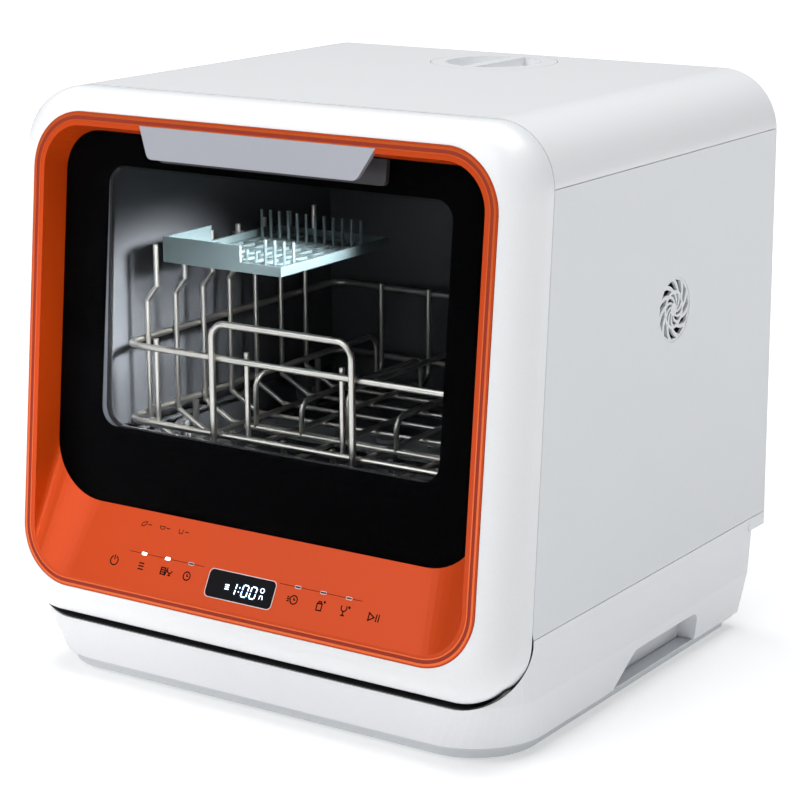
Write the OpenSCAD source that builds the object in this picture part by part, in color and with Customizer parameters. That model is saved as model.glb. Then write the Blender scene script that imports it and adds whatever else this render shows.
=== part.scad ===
// Countertop dishwasher with a water tank, a drop-down front door and one roll-out basket.
// Frame: +X right seen from the front, the front faces -Y, +Z up,
// origin at the middle of the footprint, on the surface that the feet stand on.

/* [Body] */
// Width of the body over its side panels
body_w = 435; // [430:1:450]
// Height from the table to the top of the cover
body_h = 435; // [432:1:450]
// Depth of the whole machine, from the foot of the door to the end of the drain spigot
body_d = 420; // [416:1:436]
// Distance from the rear of the shell to the end of the drain spigot
rear_reach = 23.5; // [20:0.5:30]
// Radius of the shell's long top edges and of the door's corners, seen from the front
corner_r = 45; // [42:1:47]
// Wall of the moulded casing parts
wall = 2.6; // [2.2:0.1:3]
// Visible joint between casing parts
seam = 0.5; // [0.3:0.1:0.8]
// Height of the joint between the top cover and the side panels
cover_joint = 392; // [386:1:394]

/* [Base] */
// Height of the joint between the base and the side panels
base_h = 92.5; // [88:0.5:96]
// Height of the base's lower edge above the table
base_edge = 13; // [11:0.5:15]
// How far each side of the base is drawn in at its lower edge
base_draw = 10.5; // [6:0.5:12]
// Distance from the foot of the door's face back to the base's front wall
chin_in = 19; // [17:0.5:22]
// Plan radius of the base's front corners at its lower edge
base_corner = 56; // [48:1:60]
// Height of the rubber feet below the bottom plate
foot_h = 3; // [2:0.5:5]
// Diameter of the rubber feet
foot_d = 26; // [20:1:32]
// Length of the hand grip in each side of the base
grip_l = 96; // [80:1:110]
// Height of the hand grip above the base's lower edge
grip_h = 25; // [20:1:30]
// Depth of the hand grip into the base
grip_depth = 14; // [10:1:18]

/* [Door] */
// Backward lean of the door's front face, degrees
door_lean = 5.93; // [5.5:0.01:6.5]
// Backward lean of the joint behind the door, degrees
seam_lean = 4.53; // [4.2:0.01:5]
// Thickness of the door at the height of its hinge
door_t = 41.5; // [40:0.5:44]
// Distance from the door's face to the hinge axis
hinge_in = 30; // [28:0.5:31]
// Distance from the front panel's lower edge to the foot of the door
door_foot = 26.2; // [24:0.2:28]
// Radius of the door's rounded front edge
door_edge = 27; // [24:1:28]
// Opening angle at which the door's inner face lies level, degrees
door_open = 94.5; // [90:0.5:94.5]
// Width of the coloured front panel
panel_w = 392.6; // [386:0.2:396]
// Length of the coloured front panel along the door
panel_l = 346; // [342:1:349]
// Corner radius of the coloured front panel
panel_r = 42; // [38:1:45]
// Width of the panel's flat rim round the glass pocket
rim = 9.6; // [8.4:0.2:11]
// Depth from the panel's face to the outer glass
glass_depth = 22.6; // [21:0.2:23]
// Length of the sloping control area, measured along the door
control_l = 54; // [52:1:58]
// Thickness of each pane
glass_t = 3; // [2.5:0.1:3.4]
// Half width of the clear part of the window
window_hw = 147; // [142:1:148]
// Height of the clear part of the window
window_l = 190; // [184:1:194]
// Length of the pull handle's upper edge
handle_l = 200; // [180:1:220]
// Height of the pull handle's face
handle_hgt = 22.5; // [20:0.5:25]
// How far the handle's lower edge stands out from the door's face
handle_out = 4; // [3:0.5:6]

/* [Controls] */
// Width of the display
display_w = 58; // [50:1:64]
// Height of the display
display_h = 20; // [16:1:22]
// Distance between neighbouring indicator lights
led_pitch = 21.5; // [19:0.5:24]
// Length of an indicator light
led_l = 4.6; // [3.6:0.2:6]
// Width of an indicator light
led_w = 1.4; // [1:0.1:1.8]

/* [Wash chamber] */
// Half width of the chamber inside
tub_hw = 160; // [159:1:164]
// Height of the chamber floor above the table
tub_floor = 140; // [139:0.5:142]
// Height of the chamber ceiling above the table
tub_top = 400; // [394:1:404]
// Distance from the chamber's rear wall to the rear of the shell
tub_back_in = 48; // [45:0.5:52]
// Sheet thickness of the chamber
sheet = 1.6; // [1.2:0.1:2]
// Corner radius of the chamber
tub_r = 10; // [8:1:13]
// Width of the chamber's front flange
flange_w = 12; // [10:0.5:14]

/* [Basket] */
// Half width of the basket over its rims
rack_hw = 149; // [147:0.5:149.5]
// Length of the basket from its front wires to its rear wires
rack_l = 269; // [262:1:272]
// Height of the basket's upper rim above the chamber floor
rack_top_up = 106; // [100:0.5:112]
// Height of the basket's middle rim above the chamber floor
rack_mid_up = 49; // [46:0.5:53]
// Height of the basket's floor wires above the chamber floor
rack_floor_up = 31; // [29:0.5:34]
// Diameter of the rim wires
rim_wire = 5; // [4.4:0.1:5.6]
// Diameter of the upright, floor and tine wires
wire = 4; // [3.4:0.1:4.4]
// Spacing of the basket's side uprights
upright_pitch = 33; // [30:1:36]
// Travel of the basket on its rails
rack_travel = 150; // [120:1:155]
// Radius of the basket's rollers
roller_r = 13; // [11.5:0.5:13.5]
// Width of the basket's rollers
roller_w = 9; // [7:0.5:10]
// Distance from the front rollers to the rear rollers
roller_base = 160; // [150:1:166]
// Height of the rails' running face above the chamber floor
rail_up = 6.7; // [5:0.1:8]

/* [Cutlery tray] */
// Width of the tray
tray_w = 107; // [100:1:112]
// Length of the tray from front to back
tray_l = 137; // [128:1:142]
// Height of the tray's low wall
tray_low = 7; // [5:0.5:9]
// Height of the tray's tall corner wall
tray_tall = 19; // [15:0.5:22]
// Spacing of the tray's tines
tine_pitch = 8.4; // [7.6:0.2:9]
// Height that the tray lifts off its basket
tray_lift = 35; // [20:1:40]

/* [Spray and filter] */
// Length of the spray arm from tip to tip
spray_l = 240; // [220:1:244]
// Diameter of the filter's collar in the chamber floor
filter_d = 84; // [76:1:90]

/* [Filler] */
// Diameter of the filler cap
cap_d = 98; // [92:1:102]
// Diameter of the cap's finger recess
recess_d = 74; // [68:1:78]
// Place of the filler cap across the body
cap_x = 3; // [-10:1:12]
// Distance of the cap's middle from the rear of the shell
cap_back = 56.5; // [55:0.5:60]
// Height that the cap lifts out of its neck
cap_lift = 25; // [15:1:30]

/* [Cooling vent] */
// Diameter of the side vent
vent_d = 47; // [44:1:50]
// Distance of the vent's middle from the rear of the shell
vent_back = 160; // [150:1:166]
// Height of the vent's middle
vent_z = 282.7; // [270:0.1:300]
// Number of slots in the vent's outer ring
vent_slots = 11; // [8:1:13]

/* [Water connections] */
// Outer diameter of the drain spigot
drain_d = 19; // [17:0.5:22]
// Outer diameter of the inlet's threaded stub
inlet_d = 26.4; // [24:0.1:28]
// Height of both connections above the table
pipe_z = 58; // [50:1:64]

/* [Hidden] */
$fn = 48;
hull_fn = 48;
eps = 0.02;
far = 1200;
// Running clearance of a shaft in its bore, on the diameter
fit = 0.1;
// Gap of a piece that is seated without being fixed
seat = 0.3;
// Gap of a piece that is screwed or glued on
bond = 0.05;
// Gap between wires that touch
touch = 0.06;

// Shell
hw = body_w / 2;
front_y = -body_d / 2;
shell_back = body_d / 2 - rear_reach;
back_in = shell_back - wall;
base_rear = shell_back - 14;
base_step = base_h - 10;
grip_y = 36;
plate_top = base_edge - seam;
plate_flange = 1.6;
inner_floor = plate_top + seat;

// The door's own frame starts at the lower edge of its panel
panel_foot_z = 76;
edge_up = door_edge - door_foot;
door_y = front_y - edge_up * sin(door_lean) + door_edge * (1 - cos(door_lean));
door_top = door_edge
    + (body_h - panel_foot_z - door_edge + door_edge * sin(door_lean)) / cos(door_lean);
door_deep = 70;
door_gap = 0.6;

// The hinge axis runs through the centres of the door's lower corners
hinge_up = corner_r - door_foot;
hinge_y = door_y + hinge_up * sin(door_lean) + hinge_in * cos(door_lean);
hinge_z = panel_foot_z + hinge_up * cos(door_lean) - hinge_in * sin(door_lean);
seam_y = hinge_y + door_t - hinge_in;
pin_d = 6;
boss_r = 7;
bracket_t = 3;
bracket_x1 = hw - 16;
bracket_x0 = bracket_x1 - bracket_t;
bracket_rise = 32;
bracket_reach = 68;
bracket_leg = 54;
arm_x0 = bracket_x1 + 2.5;

// Clearance shape that the door's foot sweeps through: a rod with round ends
sweep_r = corner_r + 5.5;
sweep_end_r = 13;
sweep_x = hw - sqrt(sweep_r * sweep_r - sweep_end_r * sweep_end_r);

function seam_at(z) = seam_y + (z - hinge_z) * tan(seam_lean);
function seam_up(z) = (z - hinge_z) / cos(seam_lean);

// Feet
foot_x = hw - 58;
foot_front = door_y + chin_in + 50;
foot_rear = base_rear - 40;

// Glass pocket of the front panel, in the door's frame
control_foot = 8;
glass_foot = control_foot + control_l;
glass_top = panel_l - 13.7;
glass_hw = panel_w / 2 - rim - 1.9;
glass_r_low = panel_r;
glass_r_top = panel_r - 12;
glass_lap = 3.5;
glass_back = glass_depth + bond + glass_t;
mask_t = 0.6;

// Controls, in the frame of the sloping area
control_slope = atan2(glass_depth, control_l);
control_hw = 122;
control_skin = 3;
display_t = 1.6;
display_z = 7.5;
display_r = 4.5;
led_z = 27.2;
led_places = [for (s = [-1, 1], i = [0:2]) s * (display_w / 2 + 18 + i * led_pitch)];

// Window, its tunnel through the door, and the inner pane
window_foot = glass_foot + 56.6;
window_r = 14;
tunnel_out = 3;
liner_t = 2.6;
pane_in = 2.2;
pane_deep = 0.4;

// Handle
handle_t = 3;
handle_top = panel_l - 6;
handle_taper = 12;
handle_r = 6;

// Detergent dispenser; the lid's hinge is placed in the joint's frame
box_w = 92;
box_h = 32;
box_x0 = -box_w / 2;
box_z0 = window_foot - tunnel_out - liner_t - 5 - box_h;
box_out = 3;
lid_w = 50;
lid_h = 26;
lid_t = 2;
lid_x0 = box_x0 + 8;
lid_pin = 3;
knuckle = 5;
lid_z = box_z0 - hinge_up + 5;
lid_y = box_out + 0.8;

// Latch
strike_w = 18;
strike_t = 3;
strike_z = (tub_top + body_h) / 2 - strike_t / 2;
strike_reach = 12;

// Wash chamber
tub_back = shell_back - tub_back_in;
tub_mid = (tub_back + seam_at(tub_floor)) / 2;
tub_front = 2;
bulkhead_x = tub_hw - 8;

// Basket
rack_front = seam_at(tub_floor + rack_top_up) + 11;
rack_rear = rack_front + rack_l;
rack_top = tub_floor + rack_top_up;
rack_mid = tub_floor + rack_mid_up;
rack_floor = tub_floor + rack_floor_up;
rack_bend = 14;
rim_x = rack_hw - rim_wire / 2;
inner_x = rim_x - rim_wire / 2 - wire / 2 - touch;
tall_x = inner_x - 9.6;
tall_top = rack_top + 72;
kink_z = rack_top + 29;
floor_x = 116;
floor_in = 28;
upright_count = floor((rack_l - 44) / upright_pitch) + 1;
upright_y = [for (i = [0:upright_count - 1]) rack_front + 22 + i * upright_pitch];
cross_z = rack_floor + wire + touch;
run_x = [-98, -52, -6, 37, 86];
peg_x = [-120, -37, 46];
rack_handle_hw = 61;
rack_handle_up = 27;
tine_z = cross_z + wire + touch;
tine_x = [-72, -30, 12, 54, 96];

// Rails and rollers
rail_z = tub_floor + rail_up;
roller_z = rail_z + seat + roller_r;
roller_x = tub_hw - 7;
roller_y = rack_front + 79;
axle_d = 5;

// Cutlery tray
tray_x0 = -tall_x + wire / 2 + 2.6;
tray_y0 = rack_front + 25;
tray_z0 = rack_top + 59;
tray_floor_t = 2;
tray_wall = 2.2;
tray_edge = 7;
tray_cols = 9;
tray_rows = 6;
slot_dx = (tray_w - 2 * tray_edge + 3.6) / tray_cols;
slot_dy = (tray_l - 2 * tray_edge + 4.8) / tray_rows;

// Spray arm and filter
hub_d = 34;
post_d = 16;
spray_t = 8;
spray_z = tub_floor + 14;
spray_top = spray_z + spray_t + 4;
sump_y = tub_mid;
filter_x = (hub_d + filter_d) / 2 + 13;
sump_deep = 50;
sump_z = tub_floor - sheet - seat - sump_deep;
pump_x = filter_x - 12;
pump_y = sump_y - 50;
pump_d = 70;

// Tank, the channel over the chamber and the duct between them
tank_x0 = -bulkhead_x + wall / 2 + 2;
tank_x1 = -40;
tank_y1 = base_rear - wall - 6;
tank_top = tub_floor - sheet - 4;
duct_y0 = tub_back + sheet + 2;
duct_x1 = tank_x0 + 52;
trough_low = tub_top + sheet + 1;
trough_top = trough_low + 21;

// Filler cap
cap_y = shell_back - cap_back;
neck_top = body_h - wall - seat;
neck_d = cap_d - 10;
plug_d = recess_d + 2 * wall;
plug_low = body_h - 17;
ring_low = plug_low + 3;
ring_h = 5;

// Cooling vent and fan
vent_y = shell_back - vent_back;
vent_x = hw - wall;
fan_box = 15;
fan_x = vent_x - seat - fan_box;
fan_shaft = 3;

// Connections at the rear
drain_x = 70;
inlet_x = 120;
gland_x = 168;

// ---------- frames and shared shapes ----------

// The door's frame: x across, y into the door, z up along the front panel
module in_door() {
    translate([0, door_y, panel_foot_z]) rotate([-door_lean, 0, 0]) children();
}

// The joint's frame: y = 0 is the plane behind the door, z = 0 is the hinge height
module in_seam() {
    translate([0, seam_y, hinge_z]) rotate([-seam_lean, 0, 0]) children();
}

// The control area's frame: z runs up its slope, y goes into it
module in_controls() {
    in_door() translate([0, 0, control_foot]) rotate([-control_slope, 0, 0]) children();
}

// Everything in front of the joint's plane, moved by shift
module before_seam(shift = 0) {
    in_seam() translate([-far / 2, shift - far, -far / 2]) cube(far);
}

// Draws a 2D outline in x and z and carries it from y0 to y1
module upright(y0, y1) {
    translate([0, y1, 0]) rotate([90, 0, 0]) linear_extrude(y1 - y0) children();
}

// Rectangle from x0 to x1 and y0 to y1 with round corners, rb below and rt above
module round_rect(x0, x1, y0, y1, rb, rt) {
    translate([x0 + rb, y0]) square([x1 - x0 - 2 * rb, y1 - y0 - rt]);
    translate([x0 + rt, y1 - rt]) square([x1 - x0 - 2 * rt, rt]);
    translate([x0, y0 + rb]) square([x1 - x0, y1 - y0 - rb - rt]);
    for (x = [x0 + rb, x1 - rb]) translate([x, y0 + rb]) circle(rb);
    for (x = [x0 + rt, x1 - rt]) translate([x, y1 - rt]) circle(rt);
}

// Points on an arc
function arc(cx, cy, r, a0, a1, n = 8) =
    [for (i = [0:n]) [cx + r * cos(a0 + (a1 - a0) * i / n), cy + r * sin(a0 + (a1 - a0) * i / n)]];

// Round bar between two points
module rod(p, q, d) {
    v = q - p;
    translate(p) rotate([0, acos(v.z / norm(v)), atan2(v.y, v.x)]) cylinder(d = d, h = norm(v));
}

// Quarter bend of a wire about a vertical axis through c, starting at angle a
module flat_bend(c, r, a, d) {
    translate(c) rotate([0, 0, a]) rotate_extrude(angle = 90) translate([r, 0]) circle(d = d);
}

// Level loop of wire with round corners
module wire_loop(hx, y0, y1, z, r, d) {
    for (s = [-1, 1]) rod([s * hx, y0 + r, z], [s * hx, y1 - r, z], d);
    for (y = [y0, y1]) rod([-hx + r, y, z], [hx - r, y, z], d);
    flat_bend([hx - r, y1 - r, z], r, 0, d);
    flat_bend([-hx + r, y1 - r, z], r, 90, d);
    flat_bend([-hx + r, y0 + r, z], r, 180, d);
    flat_bend([hx - r, y0 + r, z], r, 270, d);
}

// Upright hoop of wire in the plane through x and z, feet at z0, crown at z1; foot at x1 at z2
module hoop_x(x0, x1, y, z0, z1, r, d, z2 = undef) {
    rod([x0, y, z0], [x0, y, z1 - r], d);
    rod([x1, y, is_undef(z2) ? z0 : z2], [x1, y, z1 - r], d);
    rod([x0 + r, y, z1], [x1 - r, y, z1], d);
    for (side = [[x0 + r, 90], [x1 - r, 0]])
        translate([side[0], y, z1 - r]) rotate([90, 0, 0]) rotate([0, 0, side[1]])
            rotate_extrude(angle = 90) translate([r, 0]) circle(d = d);
}

// The same hoop in the plane through y and z
module hoop_y(x, y0, y1, z0, z1, r, d, z2 = undef) {
    translate([x, 0, 0]) rotate([0, 0, 90]) hoop_x(y0, y1, 0, z0, z1, r, d, z2);
}

// Rod with round ends about the hinge axis, limited to |x| < half
module sweep_rod(r, half, from = 0, turn = 360) {
    translate([0, hinge_y, hinge_z]) rotate([0, 90, 0]) rotate([0, 0, from])
        rotate_extrude(angle = turn) intersection() {
            union() {
                translate([0, -sweep_x]) square([r, 2 * sweep_x]);
                for (s = [-1, 1]) translate([0, s * sweep_x]) circle(r);
            }
            translate([0, -half]) square([r, 2 * half]);
        }
}

// ---------- casing ----------

// One level of the base's outer form: a slab with front corner radius r
module base_level(z, side, front, rear, r, h) {
    for (s = [-1, 1]) {
        translate([s * (side - r), front + r, z]) cylinder(r = r, h = h, $fn = hull_fn);
        translate([s * (side - 8), rear - 8, z]) cylinder(r = 8, h = h, $fn = hull_fn);
    }
}

// Outer form of the base drawn in by inset, and carried past both ends by over
module base_form(inset, over) {
    chin = door_y + chin_in + inset;
    rear = base_rear - inset;
    hull() {
        base_level(base_edge - over, hw - base_draw - inset, chin + 2, rear,
                   base_corner - inset, eps);
        base_level(base_edge + 34, hw - base_draw * 0.3 - inset, chin - 2, rear,
                   base_corner - 12 - inset, eps);
        base_level(base_h + over - eps, hw - inset, chin - 5, rear,
                   base_corner - 28 - inset, eps);
    }
}

// Hand grip scooped out of one side of the base, with sloping ends
module grip_cut(side, grow = 0) {
    deep = hw - base_draw - grip_depth - grow;
    top = base_edge + grip_h;
    translate([side * (deep + far / 2), 0, 0])
        rotate([90, 0, 90])
            translate([0, 0, -far / 2])
                linear_extrude(far)
                    polygon([
                        [grip_y - grip_l / 2 - 24 - grow, base_edge - 1],
                        [grip_y + grip_l / 2 + 8 + grow, base_edge - 1],
                        each arc(grip_y + grip_l / 2 - 6, top - 11, 11 + grow, 0, 90),
                        each arc(grip_y - grip_l / 2 + 4, top - 9, 9 + grow, 90, 150)
                    ]);
}

module base() {
    color("white") difference() {
        union() {
            difference() {
                base_form(0, 0);
                difference() {
                    base_form(wall, 1);
                    sweep_rod(sweep_r + wall, hw);
                }
            }
            base_rear_ledge();
            base_bulkheads();
            for (s = [-1, 1]) {
                grip_wall(s);
                hinge_block(s);
            }
        }
        sweep_rod(sweep_r, hw + 1);
        for (s = [-1, 1]) {
            grip_cut(s);
            bracket(s, 0.4);
        }
        for (pipe = [[inlet_x, pipe_z, inlet_d - 2], [drain_x, pipe_z, drain_d - 2],
                     [gland_x, pipe_z - 20, 10]])
            translate([pipe[0], base_rear - 2 * wall, pipe[1]]) rotate([-90, 0, 0])
                cylinder(d = pipe[2] + 2 * fit, h = 3 * wall);
    }
}

// Upper rear lip that carries the side and back panels
module base_rear_ledge() {
    difference() {
        translate([-hw, base_rear - wall, base_step])
            cube([2 * hw, shell_back - base_rear + wall, base_h - base_step]);
        translate([-hw + wall, base_rear - 3 * wall, base_step + wall])
            cube([2 * (hw - wall), back_in - base_rear + 2 * wall, base_h]);
    }
    for (s = [-1, 1])
        translate([s > 0 ? hw - wall : -hw, base_rear - 12, base_step])
            cube([wall, 12, base_h - base_step]);
}

// Two walls inside the base that the wash chamber stands on
module base_bulkheads() {
    for (s = [-1, 1])
        translate([s * bulkhead_x - wall / 2, hinge_y + sweep_r - 1, base_edge])
            cube([wall, base_rear - wall / 2 - hinge_y - sweep_r,
                  tub_floor - sheet - seat - base_edge]);
}

// Closes the hand grip towards the inside of the base
module grip_wall(side) {
    intersection() {
        grip_cut(side, wall);
        base_form(1, 0);
    }
}

// Block inside the base that one hinge bracket is fixed to
module hinge_block(side) {
    intersection() {
        translate([side > 0 ? bracket_x1 : -hw, hinge_y + bracket_leg - 6,
                   hinge_z - 36])
            cube([hw - bracket_x1, 30, 34]);
        base_form(1, 0);
    }
}

// Plinth under the base: a slab with a thin flange that meets the base's lower edge
module bottom_plate() {
    color("gainsboro")
        for (layer = [[foot_h, plate_top - plate_flange - foot_h, 8],
                      [plate_top - plate_flange, plate_flange, 2]]) {
            inset = base_draw + layer[2];
            translate([0, 0, layer[0]]) linear_extrude(layer[1])
                round_rect(-hw + inset, hw - inset, door_y + chin_in + 2 + layer[2],
                           base_rear - layer[2], base_corner - layer[2], 12);
        }
}

module feet() {
    color("dimgray")
        for (x = [-foot_x, foot_x], y = [foot_front, foot_rear])
            translate([x, y, 0]) cylinder(d = foot_d, h = foot_h);
}

module shell_profile(inset, low) {
    difference() {
        round_rect(-hw + inset, hw - inset, 0, body_h - inset, 1, corner_r - inset);
        translate([-far / 2, -far]) square([far, far + low]);
    }
}

module top_cover() {
    color("white") difference() {
        upright(seam_at(cover_joint) - 4, shell_back)
            difference() {
                shell_profile(0, cover_joint + seam);
                shell_profile(wall, 0);
            }
        before_seam();
        translate([cap_x, cap_y, body_h - 2 * wall]) cylinder(d = cap_d + 2 * seam, h = 3 * wall);
    }
}

module side_panel(side) {
    difference() {
        translate([side > 0 ? hw - wall : -hw, seam_at(base_h), base_h + seam])
            cube([wall, shell_back - seam_at(base_h), cover_joint - base_h - seam]);
        before_seam();
        sweep_rod(sweep_r, hw + 1);
    }
}

module side_panel_left() {
    color("white") side_panel(-1);
}

module side_panel_right() {
    color("white") difference() {
        side_panel(1);
        translate([hw - 2 * wall, vent_y, vent_z]) rotate([0, 90, 0])
            cylinder(d = vent_d + 2 * seam / 5, h = 3 * wall);
    }
}

// One swirled slot between two radii; the band is w wide and turns by swirl degrees
function swirl_edge(r0, r1, a, swirl, n = 5) =
    [for (i = [0:n]) let (r = r0 + (r1 - r0) * i / n, t = a + swirl * i / n) [r * cos(t), r * sin(t)]];
function back_to_front(p) = [for (i = [len(p) - 1:-1:0]) p[i]];

module swirl_slots(count, r0, r1, swirl, share) {
    for (i = [0:count - 1]) {
        a = 360 * i / count;
        b = a + 360 / count * share;
        polygon(concat(swirl_edge(r0, r1, a, swirl), back_to_front(swirl_edge(r0, r1, b, swirl))));
    }
}

module vent_grille() {
    r = vent_d / 2;
    color("white") translate([hw - wall, vent_y, vent_z]) rotate([0, 90, 0])
        linear_extrude(wall - 0.4) difference() {
            circle(r);
            swirl_slots(vent_slots, r * 0.6, r * 0.92, 26, 0.6);
            swirl_slots(vent_slots - 1, r * 0.2, r * 0.5, 40, 0.56);
        }
}

// Plate that closes the rear, inside the shell's edge, with a field of slots
module back_panel() {
    slot_l = 56;
    slot_pitch = 12;
    color("gainsboro") difference() {
        upright(back_in - wall, back_in) shell_profile(wall + fit, base_h + seat);
        for (i = [0:9])
            translate([44 + i * slot_pitch, back_in - 2 * wall, 300])
                cube([slot_pitch / 2, 3 * wall, slot_l]);
    }
}

// Dark trough under the door, with an apron that closes the gap below the wash chamber
module sill_trim() {
    trim_t = 0.8;
    trim_hw = hw - wall - 7.3;
    apron_y = hinge_y + sweep_r - 3.4;
    color("black") difference() {
        union() {
            sweep_rod(sweep_r - 0.2, trim_hw, -13, 121);
            translate([-trim_hw, apron_y, hinge_z + 12])
                cube([2 * trim_hw, trim_t, tub_floor - sheet - seat - hinge_z - 12]);
        }
        sweep_rod(sweep_r - 0.2 - trim_t, hw);
        for (s = [-1, 1]) bracket(s, 0.4);
    }
}

// ---------- wash chamber ----------

module tub_outline(grow) {
    round_rect(-tub_hw - grow, tub_hw + grow, tub_floor - grow, tub_top + grow,
               tub_r + grow, tub_r + grow);
}

// Part of the joint's frame between two depths behind its plane
module seam_layer(y0, y1) {
    in_seam() translate([-far / 2, y0, -far / 2]) cube([far, y1 - y0, far]);
}

module tub() {
    low = seam_at(tub_floor) - 30;
    color("lightgray") difference() {
        union() {
            difference() {
                upright(low, tub_back + sheet) tub_outline(sheet);
                before_seam(tub_front);
            }
            intersection() {
                upright(low, seam_at(body_h) + 20)
                    shell_profile(wall + seat, tub_floor - flange_w);
                seam_layer(tub_front, tub_front + sheet);
            }
        }
        upright(low, tub_back) tub_outline(0);
        translate([filter_x, sump_y, tub_floor - 2 * sheet])
            cylinder(d = filter_d + fit, h = 3 * sheet);
        translate([0, sump_y, tub_floor - 2 * sheet]) cylinder(d = hub_d + fit, h = 3 * sheet);
        strike_slot();
    }
}

module tub_gasket() {
    color("dimgray") intersection() {
        upright(seam_at(tub_floor) - 20, seam_at(tub_top) + 20)
            difference() {
                tub_outline(flange_w - 1);
                tub_outline(3);
            }
        seam_layer(seat - door_gap, tub_front - bond);
    }
}

// Channel rail on each side wall: running face below, keeper above the rollers
module roller_rails() {
    y0 = seam_at(tub_floor) + 8;
    y1 = tub_back - 4;
    keeper = roller_z + roller_r + 0.6;
    web = 1.4;
    x_in = roller_x - roller_w / 2 - 1;
    color("silver") intersection() {
        upright(y0, y1) tub_outline(-bond);
        for (s = [-1, 1])
            mirror([s > 0 ? 0 : 1, 0, 0]) {
                translate([x_in, y0, tub_floor]) cube([tub_hw - x_in, y1 - y0, rail_up]);
                translate([tub_hw - web, y0, rail_z]) cube([web, y1 - y0, keeper + web - rail_z]);
                translate([roller_x, y0, keeper]) cube([tub_hw - roller_x, y1 - y0, web]);
            }
    }
}

// Post of the spray arm, through the chamber floor
module spray_hub() {
    color("gray") translate([0, sump_y, 0]) {
        translate([0, 0, tub_floor - 18]) cylinder(d = hub_d - fit, h = 18);
        translate([0, 0, tub_floor]) cylinder(d = hub_d + 6, h = 4);
        translate([0, 0, tub_floor]) cylinder(d = post_d + 8, h = spray_z - seat - tub_floor);
        translate([0, 0, tub_floor]) cylinder(d = post_d, h = spray_top - tub_floor);
        translate([0, 0, spray_top - 3]) cylinder(d = post_d + 5, h = 3);
    }
}

module spray_arm() {
    tip_r = 9;
    waist = 11;
    jets = 5;
    color("gray") translate([0, sump_y, spray_z]) difference() {
        union() {
            cylinder(d = post_d + 20, h = spray_t);
            for (a = [0, 180]) rotate([0, 0, a])
                linear_extrude(spray_t) polygon([
                    [0, -waist], each arc(spray_l / 2 - tip_r, 0, tip_r, -85, 85, 10), [0, waist]
                ]);
        }
        translate([0, 0, -1]) cylinder(d = post_d + fit, h = spray_t + 2);
        for (a = [0, 180], i = [1:jets]) rotate([0, 0, a])
            translate([post_d + i * (spray_l / 2 - 32) / jets, i % 2 ? 3 : -3, spray_t - 2])
                cylinder(d = 3, h = 3);
    }
}

// Twist-in filter: collar on the chamber floor, grip above, strainer cup in the sump
module filter() {
    cup_d = filter_d - 26;
    cup_deep = 38;
    color("silver") translate([filter_x, sump_y, tub_floor]) difference() {
        union() {
            translate([0, 0, -cup_deep]) cylinder(d = cup_d, h = cup_deep);
            translate([0, 0, -6]) cylinder(d = filter_d, h = 7);
            translate([0, 0, seat]) cylinder(d = filter_d + 8, h = 2);
            translate([-cup_d / 2, -3, 0]) cube([cup_d, 6, 9]);
        }
        difference() {
            translate([0, 0, -cup_deep + 2]) cylinder(d = cup_d - 4, h = cup_deep + 20);
            translate([-cup_d / 2, -3, -4]) cube([cup_d, 6, 13]);
        }
    }
}

// Cup under the chamber floor that collects the water round the filter
module sump() {
    color("dimgray") translate([filter_x, sump_y, sump_z]) difference() {
        cylinder(d = filter_d + 12, h = sump_deep);
        translate([0, 0, wall]) cylinder(d = filter_d + 12 - 2 * wall, h = sump_deep);
    }
}

// ---------- water and power inside the base ----------

module wash_pump() {
    case_h = 40;
    color("dimgray") translate([pump_x, pump_y, inner_floor]) {
        cylinder(d = pump_d, h = case_h);
        translate([0, 0, case_h - eps]) cylinder(d = pump_d - 16, h = 24);
        translate([0, 18, case_h]) cylinder(d = 24, h = sump_z - seat - inner_floor - case_h);
    }
}

module drain_pump() {
    motor_h = 44;
    color("dimgray") translate([filter_x + 30, sump_y + 50, inner_floor]) {
        cylinder(d = 50, h = motor_h);
        translate([-10, -14, motor_h - eps])
            cylinder(d = 20, h = sump_z - seat - inner_floor - motor_h);
    }
}

// Flow heater between the pump and the spray arm's hub
module heater() {
    heater_d = 40;
    away = [pump_x, pump_y - sump_y];
    reach = norm(away) - pump_d / 2 - seat;
    color("silver") translate([0, sump_y, inner_floor]) {
        cylinder(d = heater_d, h = tub_floor - 18 - seat - inner_floor);
        translate([0, 0, 20]) rotate([0, 90, atan2(away.y, away.x)]) cylinder(d = 18, h = reach);
    }
}

module water_tank() {
    y0 = -112;
    color("lightsteelblue") difference() {
        translate([tank_x0, y0, inner_floor])
            cube([tank_x1 - tank_x0, tank_y1 - y0, tank_top - inner_floor]);
        translate([tank_x0 + wall, y0 + wall, inner_floor + wall])
            cube([tank_x1 - tank_x0 - 2 * wall, tank_y1 - y0 - 2 * wall,
                  tank_top - inner_floor - 2 * wall]);
        translate([tank_x0 + wall, duct_y0 + wall, tank_top - 2 * wall])
            cube([duct_x1 - tank_x0 - 2 * wall, tank_y1 - duct_y0 - 2 * wall, 3 * wall]);
    }
}

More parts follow.
